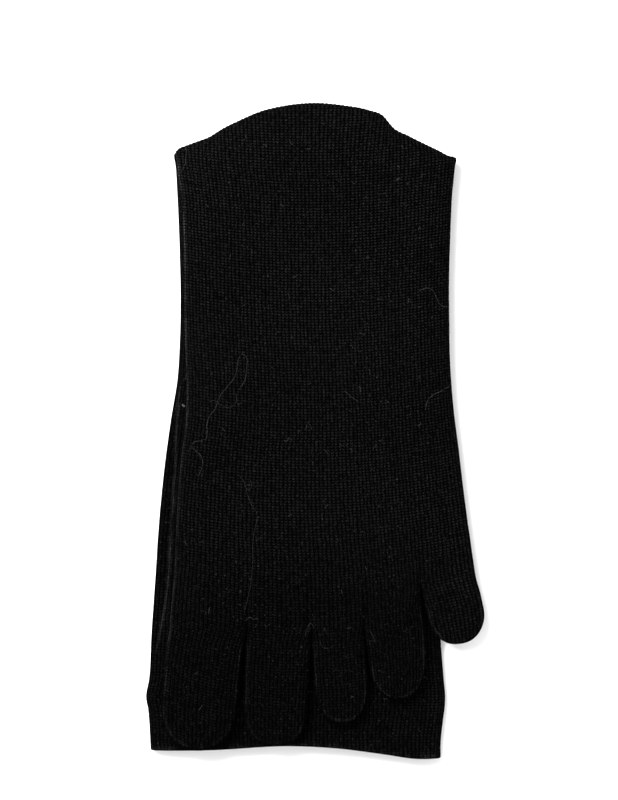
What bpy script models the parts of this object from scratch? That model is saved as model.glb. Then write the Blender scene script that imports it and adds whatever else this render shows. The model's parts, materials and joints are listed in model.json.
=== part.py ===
"""A knitted toe sock for a right foot, folded flat: the sole faces up, the toes point along -Y, the heel
pocket lies at +Y, and the leg is turned back under the foot, so that its mouth opens along -Y.

Every piece is a hollow knitted wall. The tube is followed from the toe roots to the mouth: along the foot,
round the ankle fold, and back along the leg. While it is made, x = 0 is the middle of the ankle fold, y = 0
is the fold line and z = 0 is the surface that the leg lies on.
"""

import math

import bmesh
import bpy
import numpy as np
from mathutils import Vector

# Driving dimensions, in metres
ANKLE_WIDTH = 0.0925
FOOT_LENGTH = 0.1521
LEG_LENGTH = 0.1822
CUFF_HEIGHT = 0.0134
HEEL_RISE = 0.0211
BIG_TOE_LENGTH = 0.0436
SECOND_TOE_LENGTH = 0.0419
THIRD_TOE_LENGTH = 0.0345
FOURTH_TOE_LENGTH = 0.0335
LITTLE_TOE_LENGTH = 0.0243

# Knitted wall and the hollow that it leaves
WALL = 0.0012
FOOT_HOLLOW = 0.0030
LEG_HOLLOW = 0.0052
FOOT_CROWN = 0.0006

# Clearances: end to end between pieces, and between the foot and the leg beneath it
PIECE_GAP = 0.0003
LAYER_GAP = 0.0003

# The ankle fold: its inner radius, how far it opens the two layers, and what its corners keep inside
FOLD_RADIUS = 0.0008
FOLD_REACH = 0.015
CORNER_HOLLOW = 0.0018
HEEL_FULLNESS = 2.3
FOLD_FLARE_SHARE = 0.012

# How far the heel piece runs along the foot and along the leg
HEEL_ON_FOOT = 0.020
HEEL_ON_LEG = 0.020

# Grooves that run up the foot from between the toes
GROOVE_DEPTH = 0.0009
GROOVE_WIDTH = 0.0022
GROOVE_REACH = 0.012

# Rounding of edges, in thicknesses, in walls and in toe widths, and of toe tips
EDGE_SHARE = 0.62
CROTCH_EDGE_SHARE = 1.6
MOST_EDGE_SHARE = 0.42
ROOT_BLEND_SHARE = 0.5
TIP_TAPER = 0.0052
TIP_FULLNESS = 2.4

HALF_WIDTH = ANKLE_WIDTH / 2
FOOT_THICK = FOOT_HOLLOW + 2 * WALL
LEG_THICK = LEG_HOLLOW + 2 * WALL
FOLD_HEIGHT = LEG_THICK + LAYER_GAP / 2
CORNER_RISE = FOLD_RADIUS + 2 * WALL + CORNER_HOLLOW

# Foot sides: share of the foot's length, left and right in half ankle widths
FOOT_SIDES = (
    (0.000, -1.007, 1.004),
    (0.075, -0.978, 0.982),
    (0.163, -0.967, 0.971),
    (0.300, -0.949, 0.960),
    (0.379, -0.938, 0.964),
    (0.484, -0.946, 0.967),
    (0.599, -0.960, 0.989),
    (0.695, -0.982, 1.025),
    (0.791, -0.996, 1.058),
    (0.870, -1.011, 1.087),
    (1.000, -1.046, 1.141),
)

# Toe roots, from the big toe's side: across in half ankle widths, share of the foot's length
TOE_ROOTS = (
    (FOOT_SIDES[-1][1], 1.000),
    (-0.486, 1.000),
    (-0.040, 1.000),
    (0.362, 1.000),
    (0.768, 0.910),
    (FOOT_SIDES[-1][2], 0.881),
)

# Leg sides: share of the leg's length, left and right in half ankle widths
LEG_SIDES = (
    (0.000, *FOOT_SIDES[0][1:]),
    (0.136, -0.982, 0.957),
    (0.320, -0.978, 0.946),
    (0.393, -0.996, 0.938),
    (0.467, -1.043, 0.931),
    (0.541, -1.083, 0.924),
    (0.651, -1.127, 0.917),
    (0.761, -1.156, 0.909),
    (0.871, -1.185, 0.902),
    (0.945, -1.199, 0.924),
    (0.982, -1.221, 0.935),
    (1.000, -1.207, 0.931),
)

# Cuff sides: share of the cuff's height, left and right in half ankle widths
CUFF_SIDES = (
    (0.00, *LEG_SIDES[-1][1:]),
    (0.30, -1.199, 0.917),
    (0.75, -1.192, 0.902),
    (1.00, -1.188, 0.902),
)

# The mouth's edge: share of the way across, depth in cuff heights
MOUTH_EDGE = (
    (0.00, 1.00),
    (0.20, 0.98),
    (0.50, 0.88),
    (0.65, 0.94),
    (0.80, 1.08),
    (0.92, 1.20),
    (1.00, 1.20),
)

# The heel pocket's outline: across in half widths, share of the rise above its corners
HEEL_ROOF = (
    (-1.00, 0.03),
    (-0.86, 0.17),
    (-0.75, 0.29),
    (-0.65, 0.47),
    (-0.54, 0.63),
    (-0.40, 0.81),
    (-0.20, 0.95),
    (0.00, 1.00),
    (0.20, 0.95),
    (0.38, 0.83),
    (0.53, 0.55),
    (0.64, 0.34),
    (0.75, 0.19),
    (0.85, 0.06),
    (1.00, 0.00),
)

# Toe sides: share of the toe's length, left and right in half root widths
BIG_TOE_SIDES = ((0.00, -1.00, 1.00), (0.33, -1.13, 0.86), (0.67, -1.22, 0.75), (1.00, -1.20, 0.69))
SECOND_TOE_SIDES = ((0.00, -1.00, 1.00), (0.33, -1.07, 0.93), (0.67, -1.10, 0.86), (1.00, -1.08, 0.80))
THIRD_TOE_SIDES = ((0.00, -1.00, 1.00), (0.33, -0.98, 1.07), (0.67, -0.90, 1.15), (1.00, -0.80, 1.13))
FOURTH_TOE_SIDES = ((0.00, -1.00, 1.00), (0.33, -0.94, 1.15), (0.67, -0.82, 1.18), (1.00, -0.67, 1.07))
LITTLE_TOE_SIDES = ((0.00, -1.00, 1.00), (0.33, -0.97, 1.09), (0.67, -0.90, 1.14), (1.00, -0.80, 1.05))

# Toes: name, length, splay in degrees, tip's place in half root widths, rounded share, sides
TOES = (
    ("big_toe", BIG_TOE_LENGTH, 0.0, -0.20, 0.38, BIG_TOE_SIDES),
    ("second_toe", SECOND_TOE_LENGTH, 0.0, -0.13, 0.28, SECOND_TOE_SIDES),
    ("third_toe", THIRD_TOE_LENGTH, 0.0, -0.05, 0.38, THIRD_TOE_SIDES),
    ("fourth_toe", FOURTH_TOE_LENGTH, 0.0, 0.20, 0.36, FOURTH_TOE_SIDES),
    ("little_toe", LITTLE_TOE_LENGTH, 7.4, 0.05, 0.42, LITTLE_TOE_SIDES),
)

# How finely the walls are divided
EDGE_STEPS = 4
WIDE_STEP_SHARE = 0.12
FOOT_STEPS = 9
GROOVE_STEPS = 3
HEEL_STEPS = 14
HEEL_TURNS = 12
LEG_STEPS = 8
TOE_STEPS = 4
TOE_BODY_STEPS = 4
TIP_TURNS = (18, 36, 54, 68, 80)

KNIT_COLOUR = (0.011, 0.011, 0.012, 1.0)
KNIT_ROUGHNESS = 0.95


def clear_scene():
    for old in list(bpy.data.objects):
        bpy.data.objects.remove(old, do_unlink=True)


def blend(start, end, share):
    return start + (end - start) * share


def follow(rows, column, place):
    """A smooth curve through one column of a table, read at a place in the table's first column."""
    spots = np.array([row[0] for row in rows])
    values = np.array([row[column] for row in rows])
    slopes = np.gradient(values, spots)
    k = int(np.clip(np.searchsorted(spots, place) - 1, 0, len(spots) - 2))
    step = spots[k + 1] - spots[k]
    t = (place - spots[k]) / step
    start = values[k] * (1 + 2 * t) + slopes[k] * step * t
    end = values[k + 1] * (3 - 2 * t) - slopes[k + 1] * step * (1 - t)
    return float(start * (1 - t) ** 2 + end * t**2)


def fade(distance, reach):
    """1 at no distance, falling smoothly to 0 at the reach."""
    t = min(abs(distance) / reach, 1.0)
    return (1 - t) ** 2 * (1 + 2 * t)


def rounded(share, fullness):
    """Height of a superellipse of unit size at this share of its reach."""
    return max(0.0, 1 - share**fullness) ** (1 / fullness)


def even_shares(steps):
    return [k / steps for k in range(steps + 1)]


def flat_loop(left_edge, right_edge, shares):
    """Places round a flattened tube, from its left edge over the top and back beneath.

    Each is (share of the way across, lift from -1 beneath to 1 on top). The edges are quarter turns of the
    given depths, and shares divide the stretch between them.
    """
    turns = [math.radians(90 * k / EDGE_STEPS) for k in range(EDGE_STEPS)]
    over = [(left_edge * (1 - math.cos(t)), math.sin(t)) for t in turns]
    over += [(blend(left_edge, 1 - right_edge, share), 1.0) for share in shares]
    over += [(1 - right_edge * (1 - math.cos(t)), math.sin(t)) for t in reversed(turns)]
    beneath = [(across, -lift) for across, lift in reversed(over[1:-1])]
    return over + beneath


def root_share(x):
    """Where along the foot the toes part, at this place across."""
    spots, shares = zip(*TOE_ROOTS)
    return float(np.interp(x / HALF_WIDTH, spots, shares))


def half_layer(distance):
    """Half the space between foot and leg, at this distance from the fold line."""
    return LAYER_GAP / 2 + (FOLD_RADIUS - LAYER_GAP / 2) * fade(distance, FOLD_REACH)


def groove(x, share):
    """How deep the grooves between the toes are here."""
    depth = 0.0
    for crotch, root in TOE_ROOTS[1:-1]:
        up_the_foot = fade((root - share * root_share(x)) * FOOT_LENGTH, GROOVE_REACH)
        depth += GROOVE_DEPTH * up_the_foot * fade(x - crotch * HALF_WIDTH, GROOVE_WIDTH)
    return depth


def foot_bottom(y):
    return FOLD_HEIGHT + half_layer(y)


def foot_top(x, across, share):
    crown = FOOT_CROWN * math.sin(math.pi * min(max(across, 0.0), 1.0))
    return FOLD_HEIGHT + LAYER_GAP / 2 + FOOT_THICK + crown - groove(x, share)


def foot_ring(share, shares, end=0.0):
    """The foot's outer skin at this share of its length, with its end drawn back by a clearance."""
    left = follow(FOOT_SIDES, 1, share) * HALF_WIDTH
    right = follow(FOOT_SIDES, 2, share) * HALF_WIDTH
    edge = EDGE_SHARE * FOOT_THICK / (right - left)
    ring = []
    for across, lift in flat_loop(edge, edge, shares):
        x = blend(left, right, across)
        root_x = blend(TOE_ROOTS[0][0], TOE_ROOTS[-1][0], across) * HALF_WIDTH
        y = end - share * root_share(root_x) * FOOT_LENGTH
        top = foot_top(x, across, share)
        bottom = foot_bottom(y)
        ring.append(Vector((x, y, blend(bottom, top, (1 + lift) / 2))))
    return ring


def leg_ring(share, shares, end=0.0):
    """The leg's outer skin at this share of its length. It hangs below the fold and lies on z = 0."""
    left = follow(LEG_SIDES, 1, share) * HALF_WIDTH
    right = follow(LEG_SIDES, 2, share) * HALF_WIDTH
    edge = EDGE_SHARE * LEG_THICK / (right - left)
    y = end - share * LEG_LENGTH
    top = FOLD_HEIGHT - half_layer(y)
    # The loop is turned over, so that it goes on from the foot's loop round the fold.
    return [
        Vector((blend(left, right, across), y, top * (1 - lift) / 2))
        for across, lift in flat_loop(edge, edge, shares)
    ]


def cuff_ring(share, shares, end=0.0):
    left = follow(CUFF_SIDES, 1, share) * HALF_WIDTH
    right = follow(CUFF_SIDES, 2, share) * HALF_WIDTH
    edge = EDGE_SHARE * LEG_THICK / (right - left)
    ring = []
    for across, lift in flat_loop(edge, edge, shares):
        drop = share * CUFF_HEIGHT * follow(MOUTH_EDGE, 1, across)
        ring.append(Vector((blend(left, right, across), end - LEG_LENGTH - drop, LEG_THICK * (1 - lift) / 2)))
    return ring


def fold_ring(turn, shares):
    """The ankle fold's outer skin, from turn 0 at the foot to turn 1 at the leg."""
    angle = math.pi * turn
    out = math.sin(angle)
    up = math.cos(angle)
    flare = 1 + FOLD_FLARE_SHARE * out
    left = follow(FOOT_SIDES, 1, 0.0) * HALF_WIDTH * flare
    right = follow(FOOT_SIDES, 2, 0.0) * HALF_WIDTH * flare
    edge = EDGE_SHARE * blend(FOOT_THICK, LEG_THICK, turn) / (right - left)
    power = 2 / HEEL_FULLNESS
    ring = []
    for across, lift in flat_loop(edge, edge, shares):
        x = blend(left, right, across)
        rise = blend(CORNER_RISE, HEEL_RISE, follow(HEEL_ROOF, 1, 2 * across - 1))
        reach = foot_top(x, across, 0.0) - FOLD_HEIGHT if up > 0 else FOLD_HEIGHT
        outer = Vector((x, rise * out**power, FOLD_HEIGHT + math.copysign(reach * abs(up) ** power, up)))
        inner = Vector((x, FOLD_RADIUS * out, FOLD_HEIGHT + FOLD_RADIUS * up))
        ring.append(inner.lerp(outer, (1 + lift) / 2))
    return ring


def toe_rings(place, length, splay, tip_place, tip_share, sides):
    """The outer skin of one toe, ring by ring from its root, and the point of its tip."""
    first, last = place == 0, place == len(TOES) - 1
    left_x = TOE_ROOTS[place][0] * HALF_WIDTH + (0 if first else PIECE_GAP / 2)
    right_x = TOE_ROOTS[place + 1][0] * HALF_WIDTH - (0 if last else PIECE_GAP / 2)

    def root(across):
        x = blend(left_x, right_x, across)
        return Vector((x, -root_share(x) * FOOT_LENGTH - PIECE_GAP / 2))

    middle = (root(0) + root(1)) / 2
    lean = math.radians(splay)
    along = Vector((math.sin(lean), -math.cos(lean)))
    aside = Vector((math.cos(lean), math.sin(lean)))
    half_root = (root(1) - root(0)).dot(aside) / 2
    base = FOLD_HEIGHT + LAYER_GAP / 2
    spots = [(1 - tip_share) * k / TOE_BODY_STEPS for k in range(TOE_BODY_STEPS + 1)]
    spots += [1 - tip_share * (1 - math.sin(math.radians(turn))) for turn in TIP_TURNS]
    rings = []
    for share in spots:
        tip_turn = max(0.0, 1 - (1 - share) / tip_share)
        narrow = rounded(tip_turn, TIP_FULLNESS)
        flat = rounded(max(0.0, 1 - (1 - share) * length / TIP_TAPER), TIP_FULLNESS)
        left = tip_place + (follow(sides, 1, share) - tip_place) * narrow
        right = tip_place + (follow(sides, 2, share) - tip_place) * narrow
        width = (right - left) * half_root
        # A root edge at a crotch is nearly square, and further on both edges are rounded alike.
        round_edge = EDGE_SHARE * FOOT_THICK
        crotch_edge = blend(round_edge, CROTCH_EDGE_SHARE * WALL, fade(share, ROOT_BLEND_SHARE))
        left_edge = min(round_edge if first else crotch_edge, width * MOST_EDGE_SHARE) / width
        right_edge = min(round_edge if last else crotch_edge, width * MOST_EDGE_SHARE) / width
        ring = []
        for across, lift in flat_loop(left_edge, right_edge, even_shares(TOE_STEPS)):
            slant = (root(across) - middle).dot(along) * (1 - share)
            spot = middle + along * (share * length + slant) + aside * blend(left, right, across) * half_root
            foot_across = (root(across).x / HALF_WIDTH - TOE_ROOTS[0][0]) / (TOE_ROOTS[-1][0] - TOE_ROOTS[0][0])
            root_top = foot_top(root(across).x, foot_across, 1.0)
            top = blend(base + FOOT_THICK, root_top, fade(share, ROOT_BLEND_SHARE))
            middle_height = (base + top) / 2
            half_height = (top - base) / 2 * flat
            ring.append(Vector((spot.x, spot.y, middle_height + half_height * lift)))
        # The toe runs the other way from the foot, so its loops turn the other way too.
        rings.append(ring[::-1])
    tip = middle + along * length + aside * tip_place * half_root
    return rings, Vector((tip.x, tip.y, base + FOOT_THICK / 2))


def knit_material(name):
    material = bpy.data.materials.new(name)
    material.use_nodes = True
    shader = material.node_tree.nodes["Principled BSDF"]
    shader.inputs["Base Color"].default_value = KNIT_COLOUR
    shader.inputs["Roughness"].default_value = KNIT_ROUGHNESS
    shader.inputs["Metallic"].default_value = 0.0
    material.diffuse_color = KNIT_COLOUR
    return material


def knit_shell(name, rings, tip=None):
    """A knitted wall whose outer skin runs through rings of equal count. A tip point closes the far end."""
    mesh = bpy.data.meshes.new(name)
    bm = bmesh.new()
    rows = [[bm.verts.new(point) for point in ring] for ring in rings]
    for near, far in zip(rows, rows[1:]):
        for k in range(len(near)):
            after = (k + 1) % len(near)
            bm.faces.new((near[k], near[after], far[after], far[k]))
    if tip is not None:
        point = bm.verts.new(tip)
        for k in range(len(rows[-1])):
            bm.faces.new((rows[-1][k], rows[-1][(k + 1) % len(rows[-1])], point))
    bm.to_mesh(mesh)
    bm.free()
    mesh.shade_smooth()
    mesh.materials.append(knit_material(name + "_knit"))
    shell = bpy.data.objects.new(name, mesh)
    wall = shell.modifiers.new("Wall", "SOLIDIFY")
    wall.thickness = WALL
    wall.offset = -1.0
    wall.use_even_offset = True
    return shell


def foot_shares():
    """Shares between the foot's edges that put a line at each crotch and one on either side of it."""
    spread = (TOE_ROOTS[-1][0] - TOE_ROOTS[0][0]) * HALF_WIDTH
    edge = EDGE_SHARE * FOOT_THICK
    shares = [0.0, 1.0]
    for crotch, _ in TOE_ROOTS[1:-1]:
        for step in (-GROOVE_WIDTH, 0.0, GROOVE_WIDTH):
            place = (crotch - TOE_ROOTS[0][0]) * HALF_WIDTH + step
            shares.append((place - edge) / (spread - 2 * edge))
    shares.sort()
    middles = [(low + high) / 2 for low, high in zip(shares, shares[1:]) if high - low > WIDE_STEP_SHARE]
    return sorted(shares + middles)


def make_foot():
    start = HEEL_ON_FOOT / FOOT_LENGTH
    groove_start = 1 - GROOVE_REACH / FOOT_LENGTH
    spots = [blend(start, groove_start, k / FOOT_STEPS) for k in range(FOOT_STEPS + 1)]
    spots += [blend(groove_start, 1, step / GROOVE_STEPS) for step in range(1, GROOVE_STEPS + 1)]
    ends = [-PIECE_GAP / 2] + [0.0] * (len(spots) - 2) + [PIECE_GAP / 2]
    return knit_shell("foot", [foot_ring(spot, foot_shares(), end) for spot, end in zip(spots, ends)][::-1])


def make_heel():
    shares = even_shares(HEEL_STEPS)
    on_foot = [HEEL_ON_FOOT / FOOT_LENGTH * share for share in (1.0, 0.55, 0.25)]
    on_leg = [HEEL_ON_LEG / LEG_LENGTH * share for share in (0.25, 0.55, 1.0)]
    rings = [foot_ring(spot, shares, end) for spot, end in zip(on_foot, (PIECE_GAP / 2, 0.0, 0.0))]
    rings += [fold_ring(turn / HEEL_TURNS, shares) for turn in range(HEEL_TURNS + 1)]
    rings += [leg_ring(spot, shares, end) for spot, end in zip(on_leg, (0.0, 0.0, PIECE_GAP / 2))]
    return knit_shell("heel", rings)


def make_leg():
    shares = even_shares(LEG_STEPS)
    start = HEEL_ON_LEG / LEG_LENGTH
    spots = [start] + [row[0] for row in LEG_SIDES if row[0] > start]
    ends = [-PIECE_GAP / 2] + [0.0] * (len(spots) - 2) + [PIECE_GAP / 2]
    return knit_shell("leg", [leg_ring(spot, shares, end) for spot, end in zip(spots, ends)])


def make_cuff():
    shares = even_shares(LEG_STEPS)
    spots = [row[0] for row in CUFF_SIDES]
    ends = [-PIECE_GAP / 2] + [0.0] * (len(spots) - 1)
    return knit_shell("cuff", [cuff_ring(spot, shares, end) for spot, end in zip(spots, ends)])


def make_toes():
    toes = []
    for place, (name, length, splay, tip_place, tip_share, sides) in enumerate(TOES):
        rings, tip = toe_rings(place, length, splay, tip_place, tip_share, sides)
        toes.append(knit_shell(name, rings, tip))
    return toes


def stand_on_origin(pieces):
    """Hangs the pieces on an empty that puts the middle of their box on x = y = 0 and their lowest point on z = 0."""
    corners = np.array([vertex.co for piece in pieces for vertex in piece.data.vertices])
    low, high = corners.min(axis=0), corners.max(axis=0)
    sock_frame = bpy.data.objects.new("sock_frame", None)
    sock_frame.location = (-(low[0] + high[0]) / 2, -(low[1] + high[1]) / 2, -low[2])
    for piece in pieces:
        piece.parent = sock_frame
    return sock_frame


def main():
    clear_scene()
    collection = bpy.data.collections.new("toe_sock")
    bpy.context.scene.collection.children.link(collection)
    pieces = [make_cuff(), make_leg(), make_heel(), make_foot(), *make_toes()]
    collection.objects.link(stand_on_origin(pieces))
    for piece in pieces:
        collection.objects.link(piece)


main()
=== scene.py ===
"""The looks of a knitted toe sock, folded flat with its sole up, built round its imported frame.

Each knitted section is one closed wall: an outer skin whose rows follow the tube and whose columns follow
the wales, four to a wale, so that the wales stand up as real ridges, and a smooth inner skin. The foot's
columns run on into the toes, which end on rounded outlines as the real pockets do.
"""

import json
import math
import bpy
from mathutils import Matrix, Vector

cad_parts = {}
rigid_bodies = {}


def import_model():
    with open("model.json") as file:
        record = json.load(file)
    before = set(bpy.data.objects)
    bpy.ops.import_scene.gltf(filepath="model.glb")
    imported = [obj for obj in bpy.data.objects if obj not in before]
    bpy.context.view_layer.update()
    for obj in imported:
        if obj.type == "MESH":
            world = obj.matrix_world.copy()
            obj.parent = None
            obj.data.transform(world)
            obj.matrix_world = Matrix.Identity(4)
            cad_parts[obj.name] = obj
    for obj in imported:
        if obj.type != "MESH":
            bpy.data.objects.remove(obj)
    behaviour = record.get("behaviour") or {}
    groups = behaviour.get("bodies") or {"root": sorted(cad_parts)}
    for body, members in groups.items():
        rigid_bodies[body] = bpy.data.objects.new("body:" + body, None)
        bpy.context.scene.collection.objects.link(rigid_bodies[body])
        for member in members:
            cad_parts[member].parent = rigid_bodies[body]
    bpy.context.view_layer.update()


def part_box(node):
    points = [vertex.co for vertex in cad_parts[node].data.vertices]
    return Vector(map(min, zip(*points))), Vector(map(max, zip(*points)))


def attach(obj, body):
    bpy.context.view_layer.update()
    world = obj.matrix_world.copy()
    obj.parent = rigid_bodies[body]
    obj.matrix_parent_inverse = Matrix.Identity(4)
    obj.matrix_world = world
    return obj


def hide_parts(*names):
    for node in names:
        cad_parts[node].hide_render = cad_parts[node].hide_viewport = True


bl_info = {
    "name": "Folded toe sock",
    "version": (1, 0, 0),
    "blender": (4, 5, 0),
    "location": "3D View > Sidebar > Toe sock",
    "description": "Knits a folded toe sock over its frame and sets it on a plain stage",
    "category": "Add Mesh",
}

import bmesh
import bpy
import numpy as np
from bpy.props import FloatProperty, FloatVectorProperty, IntProperty, PointerProperty
from mathutils import Vector
from mathutils.bvhtree import BVHTree

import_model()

BODY = "root"
KNIT_MAP = "Knit"
WEAR_AND_HIGHLIGHT = "WearAndHighlight"
CLOSE_AND_SHADE = "ClosenessAndShade"

# Foot sides: share of the foot's length, left and right in half ankle widths
FOOT_SIDES = (
    (0.000, -1.007, 1.004), (0.075, -0.969, 0.982), (0.163, -0.955, 0.971), (0.300, -0.944, 0.960),
    (0.379, -0.937, 0.962), (0.484, -0.924, 0.967), (0.560, -0.930, 0.981), (0.640, -0.962, 1.004),
    (0.695, -0.979, 1.025), (0.791, -1.000, 1.058), (0.870, -1.008, 1.087), (1.000, -1.046, 1.141),
)

# Toe roots, from the big toe's side: across in half ankle widths, share of the foot's length
TOE_ROOTS = (
    (FOOT_SIDES[-1][1], 1.000),
    (-0.486, 1.000),
    (-0.040, 1.000),
    (0.362, 1.000),
    (0.768, 0.910),
    (FOOT_SIDES[-1][2], 0.881),
)

# Leg sides: share of the leg's length, left and right in half ankle widths
LEG_SIDES = (
    (0.000, *FOOT_SIDES[0][1:]), (0.136, -0.982, 0.957), (0.320, -0.978, 0.946), (0.393, -0.996, 0.938),
    (0.467, -1.043, 0.931), (0.541, -1.083, 0.924), (0.651, -1.127, 0.917), (0.761, -1.156, 0.909),
    (0.871, -1.185, 0.902), (0.945, -1.199, 0.924), (0.982, -1.221, 0.935), (1.000, -1.207, 0.931),
)

# The crease where the leg's top layer folds down on its left: share of the leg's length, place in half
# ankle widths
LEG_CREASE = (
    (0.000, -1.007), (0.136, -0.982), (0.320, -0.978), (0.393, -0.986), (0.476, -1.003), (0.586, -1.026),
    (0.697, -1.047), (0.780, -1.075), (0.835, -1.105), (0.890, -1.150), (0.925, -1.190), (0.982, -1.221),
    (1.000, -1.207),
)

# How far the leg steps down outside that crease: share of the leg's length, share of the full step
CREASE_STEP = (
    (0.00, 0.0), (0.37, 0.0), (0.41, 0.35), (0.46, 1.0), (0.84, 1.0), (0.89, 0.5), (0.92, 0.0), (1.00, 0.0),
)

# Cuff sides: share of the cuff's height, left and right in half ankle widths
CUFF_SIDES = (
    (0.00, *LEG_SIDES[-1][1:]), (0.30, -1.199, 0.917), (0.75, -1.192, 0.902), (1.00, -1.188, 0.902),
)

# The mouth's edge: share of the way across, depth in cuff heights
MOUTH_EDGE = (
    (0.00, 1.00), (0.20, 0.98), (0.50, 0.88), (0.65, 0.94), (0.80, 1.08), (0.92, 1.20), (1.00, 1.20),
)

# The heel pocket's outline: across in half widths, share of the rise above its corners
HEEL_ROOF = (
    (-1.00, 0.03), (-0.86, 0.17), (-0.75, 0.29), (-0.65, 0.47), (-0.54, 0.63), (-0.40, 0.81), (-0.20, 0.95),
    (0.00, 1.00), (0.20, 0.95), (0.38, 0.85), (0.475, 0.74), (0.555, 0.47), (0.65, 0.325), (0.755, 0.17),
    (0.87, 0.01), (0.95, -0.10), (1.00, -0.09),
)

# Stray fibres and specks on the sole: radius in thousandths of a millimetre, then places on the picture
LONG_FIBRES = (
    (40, ((243, 354), (239, 359), (238, 367), (234, 379), (226, 389), (219, 399), (216, 408),
        (209, 418), (207, 426))),
    (40, ((207, 426), (206, 439), (201, 441), (194, 443), (192, 446), (196, 451), (201, 456),
        (203, 463), (199, 476))),
    (40, ((243, 354), (247, 359), (247, 368), (245, 381), (239, 391))),
    (40, ((236, 394), (237, 400), (235, 405), (228, 408), (219, 404), (215, 401), (210, 402))),
    (28, ((240, 476), (244, 481), (247, 492), (252, 505), (257, 513), (257, 520), (255, 530),
        (253, 543), (253, 558))),
    (28, ((253, 558), (252, 575), (249, 594), (246, 606), (244, 614))),
    (28, ((246, 479), (251, 481), (252, 486), (249, 490), (246, 488))),
    (52, ((417, 293), (422, 290), (428, 289), (433, 292), (436, 298), (439, 304), (443, 307), (448, 307))),
    (52, ((425, 410), (427, 402), (432, 396), (440, 392), (449, 387))),
    (40, ((187, 150), (186, 158), (185, 166), (181, 173))),
    (28, ((320, 642), (322, 646), (327, 648), (331, 647), (334, 645))),
    (40, ((369, 630), (372, 634), (375, 642))), (28, ((362, 636), (367, 640), (374, 641))),
    (40, ((305, 636), (308, 626), (311, 623), (314, 628))),
    (40, ((246, 620), (250, 617), (254, 619), (258, 618))), (40, ((345, 392), (352, 398), (358, 402))),
    (40, ((306, 430), (308, 423), (312, 430))), (90, ((397, 167), (399, 169))),
    (80, ((396, 181), (399, 180))), (90, ((431, 245), (431, 249))), (90, ((429.5, 262), (430.5, 262.5))),
    (100, ((387, 402), (388, 402.5))), (80, ((380, 402), (381, 402))), (80, ((396, 405.5), (397, 406))),
    (50, ((206, 205), (209, 208))), (330, ((182.5, 405.5), (184.5, 407))), (80, ((238, 404), (240, 405))),
    (50, ((221, 428), (225, 431))), (50, ((185, 541), (187, 545))),
)

# Toes: name, splay in degrees, rounded share of the length, then left and right in half root widths at each
# of the shares of its length in TOE_SHARES
TOE_SHARES = (0.00, 0.33, 0.67, 1.00)
TOES = (
    ("big_toe", 0.0, 0.36, (-1.00, 1.00), (-1.13, 0.86), (-1.22, 0.75), (-1.20, 0.69)),
    ("second_toe", 0.0, 0.28, (-1.00, 1.00), (-1.07, 0.93), (-1.10, 0.86), (-1.08, 0.80)),
    ("third_toe", 0.0, 0.38, (-1.00, 1.00), (-0.98, 1.07), (-0.90, 1.15), (-0.80, 1.13)),
    ("fourth_toe", 0.0, 0.38, (-1.00, 1.00), (-0.94, 1.15), (-0.82, 1.18), (-0.67, 1.07)),
    ("little_toe", 7.4, 0.46, (-1.00, 1.00), (-0.97, 1.09), (-0.90, 1.14), (-0.80, 1.05)),
)

# Shape values that the frame's boxes don't give, in metres and shares
WALL = 0.0012
LAYER_GAP = 0.0003
FOLD_RADIUS = 0.0008
FOLD_REACH = 0.015
FOLD_FLARE_SHARE = 0.012
CORNER_RISE = 0.0050
HEEL_RISE = 0.0211
HEEL_FULLNESS = 2.3
FOOT_CROWN = 0.0006
GROOVE_DEPTH = 0.0013
GROOVE_WIDTH = 0.0024
GROOVE_REACH = 0.015
EDGE_SHARE = 0.62
LEAST_EDGE = 0.0012
TIP_FULLNESS = 2.4
TOE_PUFF = 0.12  # how much fuller a toe is at the middle of its length
ROOT_REACH = 0.010  # how far a toe's rows keep the shape of its root
NAP = 0.00045  # how far the cotton's nap stands out of the solids at the sides

# Where the tube is pressed flat at its sides: thickness there, and how far in it recovers
LEG_EDGE_THICK = 0.0046
FOOT_EDGE_THICK = 0.0038
SIDE_REACH = 0.013
SHELF_HEIGHT = 0.0031
SHELF_SLOPE = 0.0009  # how wide the step down to the shelf is
SHELF_INSIDE = 0.35  # the share of that step that lies inside the crease
OVERHANG_REACH = 0.0032

# Slack in the cloth: height, radians per metre across and along, start
SLACK_WAVES = (
    (0.00011, 41, 160, 0.7), (0.00009, -95, 118, 2.1), (0.00008, 150, 61, 4.0),
    (0.00006, 230, -150, 1.3), (0.00005, -70, 330, 5.2),
)

# How the wales wander: length of the waves along the tube, size in columns
WALE_WAVES = ((0.0062, 0.16), (0.0137, 0.22), (0.031, 0.20))
WANDER_FROM_ROOTS = 0.010
WANDER_FROM_TOE_ROOT = 0.008
WANDER_FROM_TIP = 0.004
MOST_WALES = 400  # wales with a chance number of their own
WALE_ROUNDNESS = 0.75
FLAT_TIP = 0.0012  # the wales flatten out this far from a toe's outline

# How far the courses are drawn up at the foot's sides, times the square of the distance from its middle
COURSE_BOW = 2.1
TOE_BOW = 1.6  # more of it near the toes
BOW_REACH = 0.024
BOW_MIDDLE = -0.0018

# How closely the yarn is knitted, and where it slackens: over the heel and towards the little toe. The same
# values paint light and shade into the knit's tone: lighter over the heel and towards the little toe, darker
# on the leg and the toes
LEG_CLOSENESS = 0.85
HEEL_SLACK_REACH = 0.09
LOOSE_FROM = 0.033
LOOSE_REACH = 0.010
TOES_CLOSE_FROM = 0.045  # above the toe roots
TOES_CLOSE_REACH = 0.050

# The pale line down the left side of the foot and the heel, in columns from the edge: wear and painted
# highlight along the fold
LINE_INWARD = 3.0
LINE_DRIFT = 3.5  # how much further in it runs over the heel's end
DRIFT_REACH = 0.075
LINE_PAINTED_SHADE = 0.9  # how much darker the knit is outside it: painted shade where the fold turns down
LINE_WIDTH = 2.5
SOLE_LINE_WIDTH = 2.0
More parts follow.
